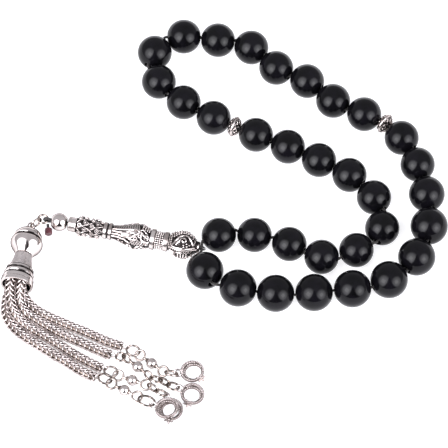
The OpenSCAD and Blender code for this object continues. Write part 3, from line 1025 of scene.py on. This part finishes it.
def on_axis(t, side=0.0, up=0.0):
    """Point by distance along the head bead's axis, to its front side and up."""
    front = Vector((math.sin(math.radians(HEAD_TURN)), -math.cos(math.radians(HEAD_TURN)), 0))
    return mouth + (t - HEAD_LEN) * head_dir + side * front + Vector((0, 0, up))


ball_bead = settle(drilled_ball(BALL_R, HEAD_BORE_R, 64), facing(on_axis(ball_t), head_dir))
ball_bead.name = "mirror_ball_bead"
belongs(paint(ball_bead, mirror_silver), "ball_body", "polished_silver", "ball_bead")

loop_t = ball_t - BALL_R - 0.8
LINK_WIRE = 0.5
LINK_DRAWN = LINK_WIRE + 0.12
LINK_RING_R = 1.4
link_ring_at = on_axis(loop_t - LINK_RING_R)
link_ring = settle(cut_ring(LINK_RING_R, LINK_DRAWN, 60), Matrix.Translation(link_ring_at * MM))
link_ring.name = "level_link_ring"
belongs(paint(link_ring, ring_silver), "link_ring_body", "ring_wire", "link_ring")

RIM_R = 4.75
CAP_LEN = 19.3
CAP_TURN = 78.8
EYE_R = 0.85
cap_at = Vector((-59.45, -40.1, RIM_R))
cap_dir = bearing(CAP_TURN)
cap_eye = cap_at + (CAP_LEN + 0.95) * cap_dir
to_eye = Vector((cap_eye.x - link_ring_at.x, cap_eye.y - link_ring_at.y, 0)).normalized()
upper_hold = link_ring_at + 0.8 * to_eye
upright_r = (cap_eye - upper_hold).length / 2
upright_place = facing((upper_hold + cap_eye) / 2, to_eye.cross(UP), UP)
upright = settle(cut_ring(upright_r, LINK_DRAWN, 200), upright_place)
upright.name = "upright_link_ring"
belongs(paint(upright, ring_silver), "upright_ring_body", "ring_wire", "upright_ring")

BELL_IN_R = 4.1
LIP = [
    (0, RIM_R - 0.15), (0.06, RIM_R - 0.04), (0.2, RIM_R), (1.1, RIM_R), (1.22, RIM_R - 0.05),
    (1.4, 4.5), (1.55, 4.52), (2.0, 4.62), (2.4, 4.52), (2.56, 4.3), (2.62, 3.95), (3.02, 3.9),
    (3.1, 4.2), (3.3, 4.38), (3.7, 4.38), (4.04, 4.2), (4.12, 3.7), (4.52, 3.66), (4.58, 3.9),
    (4.8, 4.05), (5.3, 4.0), (5.6, 3.8),
]
CAP_NECK = [(5.68, 3.52), (7, 3.12), (8.6, 2.76), (10.1, 2.5)]
GLOBE = [
    (10.25, 2.35), (10.4, 2.7), (10.8, 2.95), (11.4, 3.4), (12.0, 3.9), (12.6, 4.28), (13.2, 4.54),
    (13.8, 4.68), (14.3, 4.7), (14.8, 4.6), (15.1, 4.45), (15.22, 4.3),
]
DOME = [
    (15.28, 3.9), (15.34, 3.72), (15.86, 3.66), (15.92, 3.8), (15.98, 4.05), (16.1, 4.16),
    (16.4, 4.12), (16.9, 3.95), (17.4, 3.66), (17.9, 3.24), (18.4, 2.65), (18.8, 2.0), (19.1, 1.3),
    (CAP_LEN - 0.03, 0.6),
]
HOLLOW = [(6, 0), (5.9, 1), (5.6, 2.1), (4.5, 3.3), (2, BELL_IN_R - 0.15), (0, BELL_IN_R)]
GROOVES = [(2.56, 3.1), (4.12, 4.58), (5.62, 5.72), (10.12, 10.3), (15.26, 15.94)]
BOSS = [(0, 1.15), (0.25, 1.1), (0.4, 0.75), (0.55, 0.42), (0.55, 0)]


def turned_cap():
    """The cap's shell: polished, with a satin neck, blackened grooves and painted shade in its hollow."""
    shell = lathe(HOLLOW + LIP + CAP_NECK + GLOBE + DOME + [(CAP_LEN, 0)], 120)
    paint(shell, mirror_silver, satin_silver, oxide_and_shade)
    for face in shell.data.polygons:
        s = face.center.z / MM
        r = math.hypot(face.center.x, face.center.y) / MM
        # The hollow inside the bell takes the blackened silver as painted shade.
        if s < 6.05 and r < BELL_IN_R + 0.02 and r < 4.12 - 0.03 * s:
            face.material_index = 2
        elif any(low < s < high for low, high in GROOVES):
            face.material_index = 2
        elif 5.6 < s < 10.2:
            face.material_index = 1
    # Flutes: every other row of the neck's points is drawn in a little.
    for vertex in shell.data.vertices:
        s = vertex.co.z / MM
        if 6.5 < s < 9.9 and math.hypot(vertex.co.x, vertex.co.y) > 1.5 * MM:
            row = round(math.degrees(math.atan2(vertex.co.y, vertex.co.x)) / 3)
            if row % 2:
                vertex.co.x *= 0.965
                vertex.co.y *= 0.965
    return settle(smooth(shell, 30), facing(cap_at, cap_dir))


cap = turned_cap()
cap_ring = settle(ring(EYE_R, LINK_WIRE + 0.04, 40, 12), Matrix.Translation(cap_eye * MM))
boss = settle(lathe(BOSS, 32), facing(cap_at + (CAP_LEN - 0.35) * cap_dir, cap_dir))
paint(cap_ring, mirror_silver)
paint(smooth(boss, 40), mirror_silver)
cap = join("tassel_cap_turned", [cap, cap_ring, boss])
belongs(cap, "tassel", "polished_silver", "tassel_cap")
paint(frame["nodes"]["cap_pin"], satin_silver)

# --- Cord ---

CORD_D = 0.8
run_gap = CORD_D / 2 + 0.03
LOOP_R = 0.75
lead_in = mouth + Vector((0.75, 0.75, run_gap))
lead_out = mouth + Vector((0.6, -0.8, -run_gap))
STRAIGHT = 1.2


def bead_point(i, side, inset=0.0):
    return bead_at[i] + side * bead_dir[i] * (bead_r[i] - inset)


cord_way = [
    on_axis(loop_t - 1.05, 0, 0.0),
    on_axis(loop_t - 0.75, 0, LOOP_R * 0.8),
    on_axis(loop_t, 0, LOOP_R + 0.05),
    on_axis(ball_t - BALL_R + 0.2, 0, run_gap + 0.1),
    on_axis(ball_t, 0, run_gap),
    on_axis(HEAD_LEN * 0.4, 0, run_gap),
    on_axis(HEAD_LEN - 0.4, 0, run_gap),
    on_axis(HEAD_LEN + 0.45, -0.2, run_gap),
    lead_in,
    bead_point(0, -1),
]
for i in range(BEADS):
    cord_way += [bead_point(i, -1, STRAIGHT), bead_point(i, 1, STRAIGHT)]
    last = i + 1 == BEADS
    cord_way.append(bead_point(i, 1) if last else (bead_point(i, 1) + bead_point(i + 1, -1)) / 2)
cord_way += [
    lead_out,
    on_axis(HEAD_LEN + 0.45, 0.2, -run_gap),
    on_axis(HEAD_LEN - 0.4, 0, -run_gap),
    on_axis(HEAD_LEN * 0.4, 0, -run_gap),
    on_axis(ball_t, 0, -run_gap),
    on_axis(ball_t - BALL_R + 0.2, 0, -run_gap - 0.1),
    on_axis(loop_t, 0, -LOOP_R - 0.05),
    on_axis(loop_t - 0.75, 0, -LOOP_R * 0.8),
    on_axis(loop_t - 1.05, 0, 0.0),
]
string = smooth(wire(curve(cord_way, 3), CORD_D / 2, round_steps=3), 60)
string.name = "waxed_string"
belongs(paint(string, cord_black), "string", "black_cord", "stringing_cord")

tail_way = [
    on_axis(loop_t + 0.1, 0.65, -1.35),
    on_axis(loop_t + 0.3, 1.3, -1.5),
    on_axis(loop_t + 0.6, 1.95, -1.6),
]
SEALED_END = [
    (0, 0), (0, 0.86), (0.12, 1.04), (0.4, 1.1), (1.5, 1.08), (1.78, 1.04), (1.9, 0.86),
    (1.84, 0.5), (1.88, 0),
]
lead = wire(tail_way, CORD_D / 2, round_steps=3)
front = on_axis(0, 1) - on_axis(0)
stub = settle(lathe(SEALED_END, 24), facing(tail_way[2], front + 0.25 * head_dir))
paint(lead, cord_black)
paint(smooth(stub, 40), cord_red)
tail = join("sealed_cord_end", [stub, lead])
belongs(tail, "string", "sealed_cord_end", "cord_tail")

# --- Divider discs ---

DISC = [
    (-1.5, 1.0), (-1.5, 1.45), (-1.38, 1.6), (-0.42, 2.7), (-0.3, 2.78), (-0.24, 2.92), (-0.12, 3.0),
    (0.12, 3.0), (0.24, 2.92), (0.3, 2.78), (0.42, 2.7), (1.38, 1.6), (1.5, 1.45), (1.5, 1.0),
    (-1.5, 1.0),
]


def petal(angle, side):
    """A raised oval loop on one face of a divider."""
    loop = []
    for i in range(10):
        turn = 2 * math.pi * i / 10
        r = 2.12 + 0.52 * math.cos(turn)
        loop.append(around(r, angle + 0.2 * math.sin(turn), side * (0.98 - 0.87 * (r - 2.12))))
    return wire(loop, 0.13, True)


def divider_disc(k):
    """A disc turned with two cones, and a ring of dots and petals on each."""
    disc = paint(lathe(DISC, 48), bright_cast, oxide_and_shade)
    for face in disc.data.polygons:
        face.material_index = 1 if 0.4 < abs(face.center.z / MM) < 1.4 else 0
    ornament = []
    for side in (-1, 1):
        ornament += beads_on([around(2.2, 2 * math.pi * i / 10, side * 0.92) for i in range(10)], 0.3)
        ornament += [petal(2 * math.pi * (i + 0.5) / 10, side) for i in range(10)]
    for part in ornament:
        paint(part, bright_cast)
    disc = smooth(join("divider_disc_%d" % (k + 1), [disc] + ornament), 40)
    return settle(disc, facing(cad_middle("divider_%d" % (k + 1)), turn_axes["divider_%d_body" % (k + 1)]))


for k in range(2):
    belongs(divider_disc(k), "divider_%d_body" % (k + 1), "antique_silver", "divider_%d" % (k + 1))

# --- Floor and light ---

pick()
bpy.ops.mesh.primitive_plane_add(size=8, location=(0, 0, -0.00005))
table = bpy.context.object
table.name = "table_top"
paint(table, white_table)

MATH = "ShaderNodeMath"
to_left = Vector((-0.553, -0.5425, 0.6336))
to_right = Vector((0.712, -0.523, 0.468))


def soft_box(name, direction, distance, width, height, power):
    """A rectangular studio light that faces the string."""
    middle = Vector((0, -0.017, 0.005))
    place = middle + direction.normalized() * distance
    bpy.ops.object.light_add(type="AREA", location=place)
    lamp = bpy.context.object
    lamp.name = name
    lamp.data.shape = "RECTANGLE"
    lamp.data.size = width
    lamp.data.size_y = height
    lamp.data.energy = power
    lamp.rotation_euler = (place - middle).to_track_quat("Z", "Y").to_euler()


soft_box("left_soft_box", to_left, 0.9, 0.36, 0.36, 1.6)
soft_box("right_soft_box", to_right, 0.9, 0.3, 0.3, 1.1)


def studio_world():
    """White walls: a wide glow behind each soft box, and a dark gap between that widens downwards."""
    world = bpy.data.worlds.new("studio")
    world.use_nodes = True
    tree = world.node_tree
    way = add(tree, "ShaderNodeTexCoord").outputs["Generated"]
    walls = add(tree, "ShaderNodeValue")
    walls.outputs["Value"].default_value = 0.72
    light = walls.outputs["Value"]
    for direction, start, gain in [(to_left, 0.74, 8.0), (to_right, 0.8, 6.6)]:
        nearness = add(
            tree,
            "ShaderNodeVectorMath",
            values={1: direction.normalized()},
            links={0: way},
            operation="DOT_PRODUCT",
        ).outputs["Value"]
        glow = add(
            tree,
            "ShaderNodeMapRange",
            values={"From Min": start, "From Max": 1, "To Min": 0, "To Max": gain},
            links={"Value": nearness},
            interpolation_type="SMOOTHSTEP",
        ).outputs["Result"]
        light = add(tree, MATH, links={0: glow, 1: light}, operation="ADD").outputs["Value"]
    split = add(tree, "ShaderNodeSeparateXYZ", links={"Vector": way}).outputs
    aside = add(tree, MATH, links={0: split["X"]}, operation="ABSOLUTE").outputs["Value"]
    past = add(tree, MATH, values={1: 0.35}, links={0: split["Y"]}, operation="ADD").outputs["Value"]
    behind = add(tree, MATH, values={1: 0}, links={0: past}, operation="MAXIMUM").outputs["Value"]
    spread = add(tree, MATH, values={1: 2}, links={0: behind}, operation="MULTIPLY").outputs["Value"]
    off_centre = add(tree, MATH, links={0: aside, 1: spread}, operation="ADD").outputs["Value"]
    below = add(tree, MATH, values={0: 0.92}, links={1: split["Z"]}, operation="SUBTRACT").outputs["Value"]
    half_gap = add(tree, MATH, values={1: 0.6}, links={0: below}, operation="MULTIPLY").outputs["Value"]
    outside = add(tree, MATH, links={0: off_centre, 1: half_gap}, operation="SUBTRACT").outputs["Value"]
    dimming = add(
        tree,
        "ShaderNodeMapRange",
        values={"From Min": 0.02, "From Max": 0.16, "To Min": 0.05, "To Max": 1},
        links={"Value": outside},
        interpolation_type="SMOOTHSTEP",
    ).outputs["Result"]
    light = add(tree, MATH, links={0: dimming, 1: light}, operation="MULTIPLY").outputs["Value"]
    plug(tree, tree.nodes["Background"], values={"Color": srgb("#f9f9ff")}, links={"Strength": light})
    return world


bpy.context.scene.world = studio_world()
bpy.context.scene.view_settings.view_transform = "Standard"
